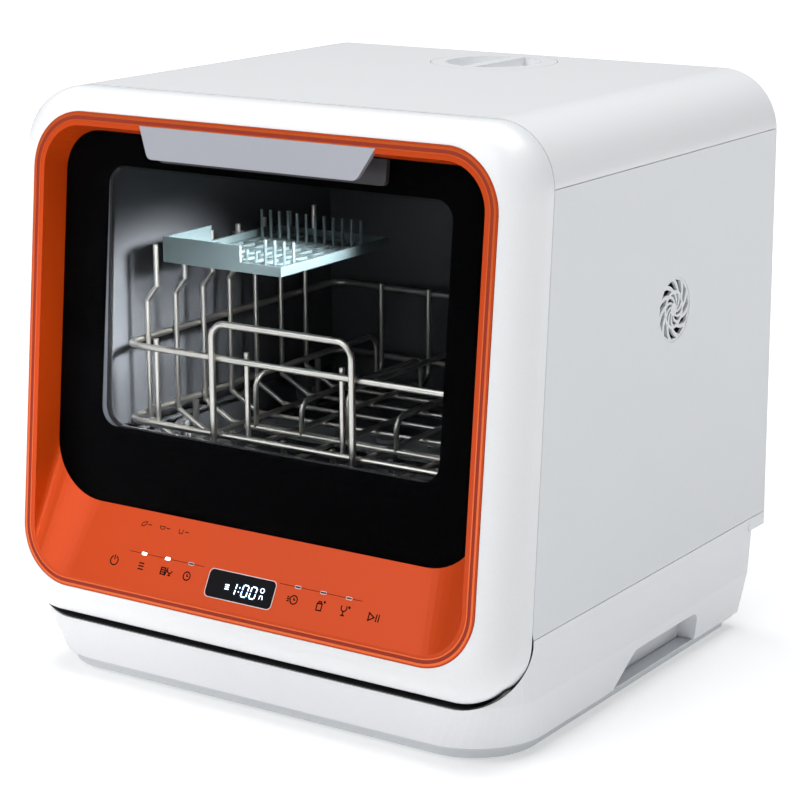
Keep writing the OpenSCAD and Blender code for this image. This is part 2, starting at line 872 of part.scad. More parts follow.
// Neck under the cap, a shallow channel over the chamber, and the duct down to the tank
module filler_duct() {
    x1 = cap_x + neck_d / 2 + wall + 4;
    y0 = cap_y - neck_d / 2 - wall - 2;
    color("white") difference() {
        union() {
            translate([tank_x0, y0, trough_low])
                cube([x1 - tank_x0, tank_y1 - y0, trough_top - trough_low]);
            translate([tank_x0, duct_y0, tank_top + seat])
                cube([duct_x1 - tank_x0, tank_y1 - duct_y0, trough_low - tank_top]);
            translate([cap_x, cap_y, trough_low])
                cylinder(d = neck_d + 2 * wall, h = neck_top - trough_low);
            translate([cap_x, cap_y, neck_top - 2]) cylinder(d = cap_d + 4, h = 2);
        }
        translate([tank_x0 + wall, y0 + wall, trough_low + wall])
            cube([x1 - tank_x0 - 2 * wall, tank_y1 - y0 - 2 * wall,
                  trough_top - trough_low - 2 * wall]);
        translate([tank_x0 + wall, duct_y0 + wall, tank_top])
            cube([duct_x1 - tank_x0 - 2 * wall, tank_y1 - duct_y0 - 2 * wall,
                  trough_low + 2 * wall - tank_top]);
        translate([cap_x, cap_y, trough_low + wall]) cylinder(d = neck_d, h = neck_top);
    }
}

// ---------- filler cap ----------

module cap_seal() {
    color("dimgray") translate([cap_x, cap_y, ring_low]) difference() {
        cylinder(d = neck_d - 2 * fit, h = ring_h);
        translate([0, 0, -1]) cylinder(d = plug_d - 4 + fit, h = ring_h + 2);
    }
}

module filler_cap() {
    recess = 9;
    bar_w = 11;
    color("white") translate([cap_x, cap_y, 0]) {
        difference() {
            union() {
                translate([0, 0, neck_top + seat]) cylinder(d = cap_d, h = body_h - neck_top - seat);
                translate([0, 0, ring_low + ring_h + seat])
                    cylinder(d = plug_d, h = neck_top + 2 * seat - ring_low - ring_h);
                translate([0, 0, plug_low]) cylinder(d = plug_d - 4, h = 10);
                translate([0, 0, plug_low]) cylinder(d = plug_d, h = ring_low - plug_low - seat);
            }
            translate([0, 0, body_h - recess]) cylinder(d = recess_d, h = recess + 1);
        }
        intersection() {
            translate([-bar_w / 2, -recess_d / 2 - 1, body_h - recess - 1])
                cube([bar_w, recess_d + 2, recess + 1]);
            translate([0, 0, body_h - recess - 1]) cylinder(d = recess_d + 1, h = recess + 1);
        }
    }
}

// ---------- fan ----------

module fan_housing() {
    half = vent_d / 2 + 3;
    back = 2.4;
    color("black") translate([fan_x, vent_y, vent_z]) rotate([0, 90, 0]) difference() {
        translate([-half, -half, 0]) cube([2 * half, 2 * half, fan_box]);
        translate([0, 0, back]) cylinder(d = vent_d, h = fan_box);
        difference() {
            translate([0, 0, -1]) cylinder(d = vent_d, h = fan_box);
            translate([0, 0, -2]) cylinder(r = 9, h = fan_box);
            for (a = [0, 60, 120]) rotate([0, 0, a])
                translate([-vent_d, -1.5, -2]) cube([2 * vent_d, 3, fan_box]);
        }
        translate([0, 0, -1]) cylinder(d = fan_shaft + fit, h = fan_box);
    }
}

module fan_rotor() {
    tip = vent_d / 2 - 1.4;
    blades = 7;
    chord = 10;
    color("dimgray") translate([fan_x, vent_y, vent_z]) rotate([0, 90, 0]) {
        translate([0, 0, 2.7]) cylinder(r = 8.5, h = 10);
        translate([0, 0, 0.4]) cylinder(d = fan_shaft, h = 4);
        for (i = [0:blades - 1]) rotate([0, 0, i * 360 / blades])
            translate([7, 0, 8]) rotate([38, 0, 0])
                translate([0, -chord / 2, -0.7]) cube([tip - 8, chord, 1.4]);
    }
}

// ---------- rear connections ----------

module inlet_connector() {
    stub = 26;
    color("gray") translate([inlet_x, base_rear, pipe_z]) rotate([-90, 0, 0]) difference() {
        union() {
            translate([0, 0, seat / 3]) cylinder(d = inlet_d + 10, h = 4);
            cylinder(d = inlet_d - 2, h = 2 * wall);
            translate([0, 0, -wall - 4]) cylinder(d = inlet_d - 2, h = wall + 5);
            translate([0, 0, seat / 3]) cylinder(d = inlet_d, h = stub);
        }
        translate([0, 0, -wall]) cylinder(d = inlet_d - 8, h = stub + 2 * wall);
    }
}

module drain_connector() {
    reach = body_d / 2 - base_rear;
    color("gray") translate([drain_x, base_rear, pipe_z]) rotate([-90, 0, 0]) difference() {
        union() {
            translate([0, 0, seat / 3]) cylinder(d = drain_d + 12, h = 4);
            translate([0, 0, seat / 3]) cylinder(d = drain_d, h = reach - seat / 3);
            translate([0, 0, -wall - 4]) cylinder(d = drain_d - 2, h = wall + 5);
        }
        translate([0, 0, -wall]) cylinder(d = drain_d - 5, h = reach + 2 * wall);
    }
}

module cord_gland() {
    color("black") translate([gland_x, base_rear, pipe_z - 20]) rotate([-90, 0, 0]) difference() {
        union() {
            translate([0, 0, seat / 3]) cylinder(d = 18, h = 3);
            translate([0, 0, seat / 3]) cylinder(d = 12, h = 9);
            translate([0, 0, -wall - 3]) cylinder(d = 10, h = wall + 4);
        }
        translate([0, 0, -wall - 4]) cylinder(d = 7, h = 30);
    }
}

module power_board() {
    color("green") translate([bulkhead_x + wall / 2 + bond, -60, 24]) {
        cube([1.6, 100, 52]);
        for (y = [8, 40, 72]) translate([1.6, y, 10]) cube([12, 20, 26]);
    }
}

// ---------- hinges ----------

// Bracket from the base's block to the hinge pin; grow gives the cut that lets it through
module bracket(side, grow) {
    x0 = side > 0 ? bracket_x0 - grow : -bracket_x1 - grow;
    translate([x0, hinge_y, hinge_z]) rotate([90, 0, 90]) linear_extrude(bracket_t + 2 * grow) {
        circle(boss_r + grow);
        rotate(bracket_rise) translate([0, 1 - boss_r - grow])
            square([bracket_reach, 2 * (boss_r + grow - 1)]);
        translate([bracket_leg - grow, -32]) square([18 + 2 * grow, bracket_reach - 5]);
    }
}

module hinge_brackets() {
    color("silver") difference() {
        for (s = [-1, 1]) bracket(s, 0);
        translate([-hw, hinge_y, hinge_z]) rotate([0, 90, 0]) cylinder(d = pin_d + fit, h = 2 * hw);
    }
}

module hinge_pins() {
    l = arm_x0 + bracket_t - bracket_x0 + 3;
    color("silver")
        for (x = [bracket_x0 - 1.5, -arm_x0 - bracket_t - 1.5])
            translate([x, hinge_y, hinge_z]) rotate([0, 90, 0]) cylinder(d = pin_d, h = l);
}

// Space in the door's lower edge that the fixed bracket passes through as the door turns
module bracket_sweep(side) {
    w = bracket_t + 4;
    mid = (bracket_x0 + bracket_x1) / 2;
    margin = 8;
    translate([side * mid - w / 2, hinge_y, hinge_z]) rotate([90, 0, 90])
        rotate([0, 0, bracket_rise - door_open - margin])
            rotate_extrude(angle = door_open + 2 * margin) square([corner_r + 20, w]);
    bracket(side, seat + fit);
    translate([0, hinge_y, hinge_z]) rotate([-door_open, 0, 0])
        translate([0, -hinge_y, -hinge_z]) bracket(side, seat + fit);
}

module hinge_arms() {
    color("silver") difference() {
        intersection() {
            for (x = [arm_x0, -arm_x0 - bracket_t])
                in_door() translate([x, hinge_in, hinge_up]) rotate([90, 0, 90])
                    linear_extrude(bracket_t) {
                        circle(boss_r);
                        translate([-boss_r + 1, 0]) square([2 * boss_r - 2, 84]);
                        translate([0, 52]) square([20, 32]);
                    }
            before_seam(-door_gap - liner_t - bond);
        }
        translate([-hw, hinge_y, hinge_z]) rotate([0, 90, 0]) cylinder(d = pin_d + fit, h = 2 * hw);
    }
}

// ---------- door ----------

// Section of the door's edge: outwards from a corner's centre, and back into the door
module edge_section(inset, deep) {
    c = corner_r - door_edge;
    translate([0, inset]) square([c, deep - inset]);
    translate([0, door_edge]) square([corner_r - inset, deep - door_edge]);
    intersection() {
        translate([c, door_edge]) circle(door_edge - inset);
        translate([c - eps, 0]) square([corner_r, door_edge + eps]);
    }
}

// The door's outer form, drawn in by inset, before it is cut off at the joint
module door_slab(inset, deep) {
    px = hw - corner_r;
    v0 = corner_r - door_foot;
    v1 = door_top - corner_r;
    for (x = [-px, px], v = [v0, v1])
        translate([x, 0, v]) rotate([-90, 0, 0]) rotate_extrude() edge_section(inset, deep);
    for (s = [0, 1]) mirror([s, 0, 0])
        translate([px, 0, v0]) linear_extrude(v1 - v0) edge_section(inset, deep);
    translate([0, 0, v1]) rotate([0, -90, 0])
        linear_extrude(2 * px, center = true) edge_section(inset, deep);
    translate([0, 0, v0]) rotate([0, 90, 0])
        linear_extrude(2 * px, center = true) edge_section(inset, deep);
    translate([-px, inset, v0]) cube([2 * px, deep - inset, v1 - v0]);
}

module panel_outline(grow) {
    round_rect(-panel_w / 2 - grow, panel_w / 2 + grow, -grow, panel_l + grow,
               panel_r + grow, panel_r + grow);
}

module door_shell() {
    color("white") difference() {
        intersection() {
            in_door() difference() {
                door_slab(0, door_deep);
                door_slab(wall, door_deep + 1);
                upright(-1, door_deep) panel_outline(seat);
            }
            before_seam(-door_gap);
        }
        for (s = [-1, 1]) bracket_sweep(s);
    }
}

// Round rectangle of the glass, grown by grow
module glass_outline(grow) {
    round_rect(-glass_hw - grow, glass_hw + grow, glass_foot - grow, glass_top + grow,
               glass_r_low + grow, glass_r_top + grow);
}

module front_panel() {
    color("chocolate") in_door() difference() {
        upright(0, glass_depth) panel_outline(0);
        hull() {
            upright(-eps, 0)
                round_rect(-panel_w / 2 + rim, panel_w / 2 - rim, control_foot, panel_l - rim,
                           panel_r - control_foot, panel_r - rim, $fn = hull_fn);
            upright(glass_depth, glass_depth + eps) glass_outline(0, $fn = hull_fn);
        }
        handle_form(0.2);
        translate([0, 0, control_foot]) rotate([-control_slope, 0, 0]) {
            translate([-control_hw, control_skin, 5]) cube([2 * control_hw, 30, 44]);
            upright(-1, display_t) display_outline(fit);
            for (x = led_places) upright(-1, control_skin + 1) led_outline(x, fit / 2);
        }
    }
}

// ---------- controls ----------

module display_outline(grow) {
    round_rect(-display_w / 2 - grow, display_w / 2 + grow, display_z - grow,
               display_z + display_h + grow, display_r, display_r);
}

module led_outline(x, grow) {
    translate([x - led_l / 2 - grow, led_z - led_w / 2 - grow])
        square([led_l + 2 * grow, led_w + 2 * grow]);
}

module display_window() {
    color("black") in_controls() upright(0, display_t - bond) display_outline(0);
}

module led_lenses() {
    color("white") in_controls()
        for (x = led_places) upright(0, control_skin + seat) led_outline(x, 0);
}

module control_board() {
    board_y = control_skin + seat + bond;
    color("green") in_controls()
        translate([-control_hw + 4, board_y, 9]) cube([2 * control_hw - 8, 1.6, 36]);
}

// ---------- glass, liner and inner pane ----------

module door_glass() {
    color("black", 0.5) in_door()
        upright(glass_depth + bond, glass_depth + bond + glass_t) glass_outline(glass_lap);
}

module window_outline(grow) {
    round_rect(-window_hw - grow, window_hw + grow, window_foot - grow,
               window_foot + window_l + grow, window_r + grow, window_r + grow);
}

module glass_mask() {
    color("black") in_door()
        upright(glass_back + bond, glass_back + mask_t) difference() {
            glass_outline(glass_lap);
            window_outline(0);
        }
}

module door_liner() {
    front = glass_back + mask_t + bond;
    color("gainsboro") difference() {
        intersection() {
            in_door() door_slab(wall + seat, door_deep);
            union() {
                seam_layer(-door_gap - liner_t, -door_gap);
                intersection() {
                    in_door() upright(front, door_deep) window_outline(tunnel_out + liner_t);
                    before_seam(-door_gap);
                }
            }
        }
        in_door() upright(front - 1, door_deep) window_outline(tunnel_out);
        for (s = [-1, 1]) bracket_sweep(s);
        in_door() translate([box_x0 - fit, 0, box_z0 - fit])
            cube([box_w + 2 * fit, door_deep, box_h + 2 * fit]);
        strike_slot();
    }
}

module inner_glass() {
    color("lightblue", 0.4) intersection() {
        in_door() upright(glass_back, door_deep) window_outline(tunnel_out - pane_in);
        seam_layer(-door_gap - pane_deep - glass_t, -door_gap - pane_deep);
    }
}

module inner_glass_seal() {
    color("dimgray") intersection() {
        in_door() upright(glass_back, door_deep) difference() {
            window_outline(tunnel_out - bond);
            window_outline(tunnel_out - pane_in + bond);
        }
        seam_layer(-door_gap - pane_deep - glass_t - 0.4, -door_gap);
    }
}

// ---------- handle ----------

// Plate that leans out of the front panel; its ends taper and its lower corners are round
module handle_form(grow) {
    low = handle_top - handle_hgt;
    half = handle_l / 2;
    side = atan2(handle_taper, handle_hgt);
    cx = half - handle_taper - handle_r * 0.55;
    intersection() {
        translate([-half - 1, 0, 0]) rotate([90, 0, 90])
            linear_extrude(2 * half + 2) polygon([
                [-grow, handle_top + grow], [-handle_out - grow, low - grow],
                [handle_t - handle_out + grow, low - grow], [handle_t + grow, handle_top - 6],
                [handle_t + grow, handle_top + grow]
            ]);
        upright(-20, 20) polygon([
            [-half - grow, handle_top + grow], [half + grow, handle_top + grow],
            each arc(cx, low + handle_r, handle_r + grow, -side, -90, 6),
            each arc(-cx, low + handle_r, handle_r + grow, -90, side - 180, 6)
        ]);
    }
}

module handle() {
    color("silver") in_door() handle_form(0);
}

// Finger cup behind the handle, against the glass
module handle_pocket() {
    half = handle_l / 2 - 3;
    bar_t = 4;
    bar_h = 18;
    color("gray") in_door()
        upright(glass_depth - bar_t, glass_depth)
            round_rect(-half, half, glass_top - seat - bar_h, glass_top - seat, 4, 1);
}

// ---------- detergent dispenser ----------

// Height and depth of the lid's hinge in the joint's frame

module detergent_dispenser() {
    color("gainsboro") {
        difference() {
            intersection() {
                in_door() translate([box_x0, glass_back + mask_t + 1, box_z0])
                    cube([box_w, door_deep, box_h]);
                before_seam(box_out);
            }
            in_seam() {
                translate([lid_x0 + 4, box_out - 8, lid_z + 4]) cube([lid_w - 8, 20, lid_h - 8]);
                translate([lid_x0 - 3, lid_y, lid_z]) rotate([0, 90, 0])
                    cylinder(d = knuckle + 2 * seat, h = lid_w + 6);
            }
        }
        in_seam() {
            for (x = [lid_x0 - 5, lid_x0 + lid_w + 2])
                translate([x, lid_y, lid_z]) rotate([0, 90, 0]) cylinder(d = knuckle, h = 3);
            translate([lid_x0 - 4, lid_y, lid_z]) rotate([0, 90, 0])
                cylinder(d = lid_pin, h = lid_w + 8);
        }
    }
}

module dispenser_lid() {
    color("gray") in_seam() difference() {
        union() {
            translate([lid_x0, box_out + seat, lid_z]) cube([lid_w, lid_t, lid_h]);
            translate([lid_x0, lid_y, lid_z]) rotate([0, 90, 0]) cylinder(d = knuckle, h = lid_w);
        }
        translate([lid_x0 - 1, lid_y, lid_z]) rotate([0, 90, 0])
            cylinder(d = lid_pin + fit, h = lid_w + 2);
    }
}

// ---------- latch ----------

module strike_bar(grow) {
    in_seam() translate([-strike_w / 2 - grow, -door_gap - liner_t - 1.6, seam_up(strike_z) - grow])
        cube([strike_w + 2 * grow, strike_reach + 2 * liner_t + grow, strike_t + 2 * grow]);
}

module strike_slot() {
    strike_bar(1.4);
}

module door_strike() {
    plate_h = 11;
    color("silver") difference() {
        union() {
            strike_bar(0);
            in_seam() translate([-20, -door_gap - liner_t - 1.6 - bond, seam_up(strike_z) - plate_h])
                cube([40, 1.6, plate_h + strike_t + 4]);
        }
        in_seam() translate([-4, 6, seam_up(strike_z) - 1]) cube([8, 5, strike_t + 2]);
    }
}

module door_lock() {
    deep = 38;
    low = tub_top + sheet + 1 + deep * sin(seam_lean);
    color("black") difference() {
        in_seam() translate([-22, tub_front + sheet + bond, seam_up(low)])
            cube([44, deep, body_h - wall - 4 - low]);
        strike_slot();
    }
}

// ---------- basket ----------

// Wire through a list of points, with a slightly larger ball at each bend
module wire_path(points, d) {
    last = len(points) - 1;
    for (i = [0:last - 1]) rod(points[i], points[i + 1], d);
    for (i = [1:last - 1]) translate(points[i]) sphere(d = d + 0.3);
}

module rack() {
    color("silver")
        for (z = [rack_top, rack_mid]) wire_loop(rim_x, rack_front, rack_rear, z, rack_bend, rim_wire);
}

// Wires that run down one side, across under the dishes and up the other side
module side_wires() {
    color("silver")
        for (y = upright_y)
            wire_path([[inner_x, y, rack_top + 4], [inner_x, y, rack_mid - 4],
                       [floor_x, y, rack_floor], [-floor_x, y, rack_floor],
                       [-inner_x, y, rack_mid - 4], [-inner_x, y, kink_z],
                       [-tall_x, y, kink_z + 12], [-tall_x, y, tall_top]], wire);
}

// Lengthwise wires: down from the front rim, along the floor, and up the rear
module floor_wires() {
    reach = (rim_wire + wire) / 2 + touch;
    color("silver") mirror([0, 0, 1])
        for (x = run_x)
            hoop_y(x, rack_front + reach, rack_rear - reach, -rack_mid - 3, -cross_z, 11, wire,
                   -rack_top - 4);
}

// Pegs inside the front wall, and the handle that the basket is pulled by
module front_wires() {
    y_in = rack_front + (rim_wire + wire) / 2 + touch;
    y_out = rack_front - rim_wire - touch;
    color("silver") {
        for (x = peg_x) rod([x, y_in, rack_mid - 3], [x, y_in, rack_top + 6], wire);
        hoop_x(-rack_handle_hw, rack_handle_hw, y_out, rack_mid - 3,
               rack_top + rack_handle_up, 12, rim_wire);
    }
}

// Bent axles that hang from the basket's middle rim and carry the rollers
module roller_axles() {
    x_in = roller_x - roller_w / 2 - 4;
    color("silver")
        for (s = [-1, 1], y = [roller_y, roller_y + roller_base])
            wire_path([[s * x_in, y, rack_mid - (rim_wire + fit) / 2], [s * x_in, y, roller_z],
                       [s * (roller_x + roller_w / 2 + 0.6), y, roller_z]], axle_d);
}

module roller(side, y) {
    color("gray") translate([side * roller_x - roller_w / 2, y, roller_z]) rotate([0, 90, 0])
        difference() {
            cylinder(r = roller_r, h = roller_w);
            translate([0, 0, -1]) cylinder(d = axle_d + fit, h = roller_w + 2);
            for (z = [-1, roller_w - 1.5]) translate([0, 0, z]) difference() {
                cylinder(r = roller_r - 3, h = 2.5);
                translate([0, 0, -1]) cylinder(r = roller_r - 8, h = 5);
            }
        }
}

module roller_front_left() { roller(-1, roller_y); }
module roller_front_right() { roller(1, roller_y); }
module roller_rear_left() { roller(-1, roller_y + roller_base); }
module roller_rear_right() { roller(1, roller_y + roller_base); }

module plate_tines() {
    y0 = rack_front + 60;
    y1 = rack_rear - 50;
    color("silver") {
        for (y = [y0, y1]) rod([tine_x[0] - 10, y, tine_z], [tine_x[4] + 6, y, tine_z], wire);
        for (i = [0:4]) hoop_y(tine_x[i], y0, y1, tine_z, tine_z + (i % 2 ? 26 : 40), 11, wire);
    }
}

// ---------- cutlery tray ----------

// Floor slots in columns and rows, with solid strips between the rows for the tines
module cutlery_tray() {
    color("slategray") {
        translate([tray_x0, tray_y0, tray_z0]) {
            difference() {
                cube([tray_w, tray_l, tray_low]);
                translate([tray_wall, tray_wall, tray_floor_t])
                    cube([tray_w - 2 * tray_wall, tray_l - 2 * tray_wall, tray_low]);
                for (i = [0:tray_cols - 1], j = [0:tray_rows - 1])
                    translate([tray_edge + i * slot_dx, tray_edge + j * slot_dy, -1])
                        cube([slot_dx - 3.6, slot_dy - 4.8, tray_floor_t + 2]);
            }
            cube([tray_w * 0.66, tray_wall, tray_tall]);
            cube([tray_wall, tray_l * 0.4, tray_tall]);
            tine_row(tray_edge + slot_dy - 2.4, tray_low + 3, tray_tall);
            tine_row(tray_edge + (tray_rows - 1) * slot_dy - 2.4, tray_tall + 3, tray_tall + 3);
        }
        tray_clips();
    }
}

// Row of tines at depth y, the last four of them as tall as end_h
module tine_row(y, h, end_h) {
    n = floor((tray_w - 2 * tray_edge) / tine_pitch);
    for (i = [0:n])
        translate([tray_edge + i * tine_pitch, y, tray_floor_t / 2])
            cylinder(d = 2.4, h = i > n - 4 ? end_h : h);
}

// Eyes that slide on the tips of the tall side wires
module tray_clips() {
    eye_d = wire + 5;
    for (y = [upright_y[1], upright_y[3]]) difference() {
        union() {
            translate([-tall_x, y, tray_z0]) cylinder(d = eye_d, h = tray_low);
            translate([-tall_x, y - 2, tray_z0])
                cube([tray_x0 + tray_wall + tall_x, 4, tray_low]);
        }
        translate([-tall_x, y, tray_z0 - 1]) cylinder(d = wire + fit, h = tray_low + 2);
    }
}

base();
bottom_plate();
feet();
top_cover();
side_panel_left();
side_panel_right();
vent_grille();
back_panel();
sill_trim();
tub();
tub_gasket();
roller_rails();
sump();
wash_pump();
drain_pump();
heater();
water_tank();
filler_duct();
fan_housing();
inlet_connector();
drain_connector();
cord_gland();
hinge_brackets();
hinge_pins();
door_lock();
spray_hub();
power_board();
door_shell();
front_panel();
door_glass();
glass_mask();
door_liner();
inner_glass();
inner_glass_seal();
handle();
handle_pocket();
display_window();
led_lenses();
control_board();
hinge_arms();
detergent_dispenser();
door_strike();
dispenser_lid();
rack();
side_wires();
front_wires();
floor_wires();
plate_tines();
roller_axles();
roller_front_left();
roller_front_right();
roller_rear_left();
roller_rear_right();
cutlery_tray();
spray_arm();
filter();
cap_seal();
filler_cap();
fan_rotor();
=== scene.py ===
import math

import bmesh
import bpy
from mathutils import Matrix, Vector


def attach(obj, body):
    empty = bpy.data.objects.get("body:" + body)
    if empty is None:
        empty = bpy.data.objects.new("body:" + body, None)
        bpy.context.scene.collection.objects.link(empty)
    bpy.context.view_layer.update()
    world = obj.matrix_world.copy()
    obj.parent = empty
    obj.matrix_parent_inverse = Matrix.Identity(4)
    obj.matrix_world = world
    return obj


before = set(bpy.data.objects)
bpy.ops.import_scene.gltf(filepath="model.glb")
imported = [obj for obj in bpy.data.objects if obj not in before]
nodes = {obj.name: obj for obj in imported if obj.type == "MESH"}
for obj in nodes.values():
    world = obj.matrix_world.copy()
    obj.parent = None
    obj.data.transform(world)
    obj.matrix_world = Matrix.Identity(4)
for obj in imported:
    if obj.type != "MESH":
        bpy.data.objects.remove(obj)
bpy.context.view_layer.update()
MM = 0.001


# ---------- frames of the door and the control slope, in mm ----------

DOOR_Y, DOOR_Z, DOOR_LEAN = -209.938, 76.0, math.radians(5.93)
SLOPE_FOOT, SLOPE = 8.0, math.radians(22.71)


def tilt(a, y, z):
    return y * math.cos(a) + z * math.sin(a), -y * math.sin(a) + z * math.cos(a)


def in_door(x, y, z):
    """A point at x, y behind the panel's face and z up it."""
    y, z = tilt(DOOR_LEAN, y, z)
    return Vector((x, DOOR_Y + y, DOOR_Z + z)) * MM


def in_controls(x, y, z):
    """A point on the control slope: y into it, z up it."""
    y, z = tilt(SLOPE, y, z)
    return in_door(x, y, z + SLOPE_FOOT)


# ---------- camera ----------

CAMERA_AZIMUTH, CAMERA_HEIGHT_ANGLE, CAMERA_ROLL = 33.897, 14.485, -0.323
CAMERA_PLACE = (0.99037, -1.47276, 0.65060)
CAMERA_LENS = 108.95


def camera():
    """The photo's viewpoint, fitted to the edges of the shell."""
    az, el, roll = map(math.radians, (CAMERA_AZIMUTH, CAMERA_HEIGHT_ANGLE, CAMERA_ROLL))
    back = Vector((math.sin(az) * math.cos(el), -math.cos(az) * math.cos(el), math.sin(el)))
    side = Vector((math.cos(az), math.sin(az), 0))
    up = back.cross(side)
    right = side * math.cos(roll) + up * math.sin(roll)
    top = up * math.cos(roll) - side * math.sin(roll)
    data = bpy.data.cameras.new("camera")
    data.sensor_width = 36
    data.lens = CAMERA_LENS
    data.clip_end = 50
    cam = bpy.data.objects.new("camera", data)
    m = Matrix((right, top, back)).transposed().to_4x4()
    m.translation = Vector(CAMERA_PLACE)
    cam.matrix_world = m
    bpy.context.scene.collection.objects.link(cam)
    bpy.context.scene.camera = cam


# ---------- materials ----------

def material(name, color, rough, metal=0.0, bump=0.0, scale=300.0, vary=0.05, stretch=(1, 1, 1),
             detail=3.0, **sockets):
    """A principled material whose roughness, colour and surface vary with noise."""
    m = bpy.data.materials.new(name)
    m.use_nodes = True
    t = m.node_tree
    b = t.nodes["Principled BSDF"]
    b.inputs["Metallic"].default_value = metal
    for key, value in sockets.items():
        b.inputs[key.replace("_", " ")].default_value = value
    coord = t.nodes.new("ShaderNodeTexCoord")
    place = t.nodes.new("ShaderNodeMapping")
    place.inputs["Scale"].default_value = stretch
    noise = t.nodes.new("ShaderNodeTexNoise")
    noise.inputs["Scale"].default_value = scale
    noise.inputs["Detail"].default_value = detail
    t.links.new(coord.outputs["Object"], place.inputs["Vector"])
    t.links.new(place.outputs["Vector"], noise.inputs["Vector"])
    span = t.nodes.new("ShaderNodeMapRange")
    span.inputs["To Min"].default_value = max(rough - vary, 0.0)
    span.inputs["To Max"].default_value = min(rough + vary, 1.0)
    t.links.new(noise.outputs["Fac"], span.inputs["Value"])
    t.links.new(span.outputs["Result"], b.inputs["Roughness"])
    ramp = t.nodes.new("ShaderNodeValToRGB")
    ramp.color_ramp.elements[0].position = 0.3
    ramp.color_ramp.elements[1].position = 0.7
    ramp.color_ramp.elements[0].color = [c * (1 - vary * 0.6) for c in color] + [1]
    ramp.color_ramp.elements[1].color = [min(c * (1 + vary * 0.4), 1) for c in color] + [1]
    t.links.new(noise.outputs["Fac"], ramp.inputs["Fac"])
    t.links.new(ramp.outputs["Color"], b.inputs["Base Color"])
    if bump:
        node = t.nodes.new("ShaderNodeBump")
        node.inputs["Strength"].default_value = bump
        node.inputs["Distance"].default_value = 0.0005
        t.links.new(noise.outputs["Fac"], node.inputs["Height"])
        t.links.new(node.outputs["Normal"], b.inputs["Normal"])
    return m


def glow(name, color, strength):
    """A lit lens or segment."""
    m = material(name, color, 0.4)
    b = m.node_tree.nodes["Principled BSDF"]
    b.inputs["Emission Color"].default_value = (*color, 1)
    b.inputs["Emission Strength"].default_value = strength
    return m


MATS = {
    "white": material("white_abs", (0.80, 0.81, 0.825), 0.34, bump=0.04, scale=900, vary=0.03,
                      Coat_Weight=0.25, Coat_Roughness=0.12),
    # Side sheets and vent grille a shade greyer than the door's white: painted shade of the less
    # lit sides.
    "panel": material("side_paint_painted_shade", (0.72, 0.737, 0.755), 0.42, bump=0.06, scale=1400, vary=0.03),
    "base": material("white_base", (0.78, 0.79, 0.81), 0.36, bump=0.05, scale=900, vary=0.03,
                     Coat_Weight=0.1, Coat_Roughness=0.2),
    "grey": material("grey_moulding", (0.42, 0.43, 0.45), 0.5, bump=0.12, scale=1200),
    "dark": material("dark_moulding", (0.02, 0.02, 0.022), 0.5, bump=0.12, scale=1200),
    "copper": material("copper_lacquer", (0.56, 0.055, 0.003), 0.36, metal=0.28, bump=0.03,
                       scale=700, vary=0.05, stretch=(1, 8, 8), Coat_Weight=0.08,
                       Coat_Roughness=0.12, Specular_IOR_Level=0.2),
    # Lighter, more metallic copy of the panel's copper for the rim's bead and inner line: painted
    # highlight along the rim's rounded edges.
    "copper_painted_highlight": material("copper_painted_highlight", (0.70, 0.12, 0.02), 0.3, metal=0.85, scale=500,
                            vary=0.04, Coat_Weight=0.4, Coat_Roughness=0.06),
    # Darker copy of the panel's copper for a flat band round the rim: painted shade of the rim's
    # groove, which has no depth here.
    "groove_shade": material("groove_shadow", (0.30, 0.020, 0.003), 0.5, metal=0.4, bump=0.05,
                       scale=900),
    "mask": material("black_print", (0.002, 0.002, 0.0025), 0.4, vary=0.02,
                     Specular_IOR_Level=0.0),
    "silver": material("handle_silver", (0.325, 0.335, 0.375), 0.34, metal=0.2, bump=0.03,
                       scale=900, vary=0.03, Coat_Weight=0.2, Coat_Roughness=0.15),
    "bar": material("handle_bar", (0.035, 0.035, 0.04), 0.4, bump=0.06, scale=900),
    # Near-black tub and roller rails: painted shade of the dim chamber deep behind the glass.
    "tub": material("tub_plastic_painted_shade", (0.06, 0.064, 0.072), 0.5, bump=0.1, scale=500),
    "liner": material("liner_plastic", (0.42, 0.46, 0.52), 0.38, bump=0.08, scale=700),
    "plate": material("plate_plastic", (0.66, 0.68, 0.70), 0.45, bump=0.08, scale=1000),
    "rubber": material("rubber", (0.06, 0.06, 0.065), 0.75, bump=0.25, scale=1500),
    "wire": material("stainless_wire", (0.66, 0.64, 0.60), 0.3, metal=1.0, scale=900, vary=0.04),
    "tray": material("tray_plastic", (0.085, 0.118, 0.125), 0.45, bump=0.08, scale=900),
    "roller": material("roller_plastic", (0.17, 0.18, 0.19), 0.42, bump=0.1, scale=900),
    "steel": material("pressed_steel", (0.55, 0.55, 0.56), 0.32, metal=1.0, bump=0.04, scale=600),
    "board": material("circuit_board", (0.02, 0.13, 0.05), 0.5, bump=0.2, scale=600),
    "tank": material("tank_plastic", (0.60, 0.64, 0.68), 0.35, bump=0.06, scale=500,
                     Transmission_Weight=0.25),
    "display": material("smoked_window", (0.003, 0.003, 0.005), 0.2, vary=0.01,
                        Specular_IOR_Level=0.05),
    "lens": material("led_lens_off", (0.10, 0.05, 0.04), 0.3),
    "lit": glow("led_lens_lit", (0.85, 0.93, 1.0), 9.0),
    "digit": glow("display_segment", (0.55, 0.72, 1.0), 3.0),
    "outline": material("display_outline", (0.55, 0.50, 0.50), 0.3, metal=0.6),
    "print": material("key_print", (0.012, 0.006, 0.005), 0.6, Specular_IOR_Level=0.0),
}


def glass(name, tint):
    """Clear pane with hardly any reflection, as in the photo."""
    return material(name, tint, 0.0, vary=0.0, Transmission_Weight=1.0, IOR=1.06,
                    Specular_IOR_Level=0.1, Specular_Tint=(0.03, 0.03, 0.03, 1))


MATS["tinted"] = glass("tinted_glass", (0.95, 0.955, 0.96))
MATS["clear"] = glass("inner_pane", (0.97, 0.98, 0.98))

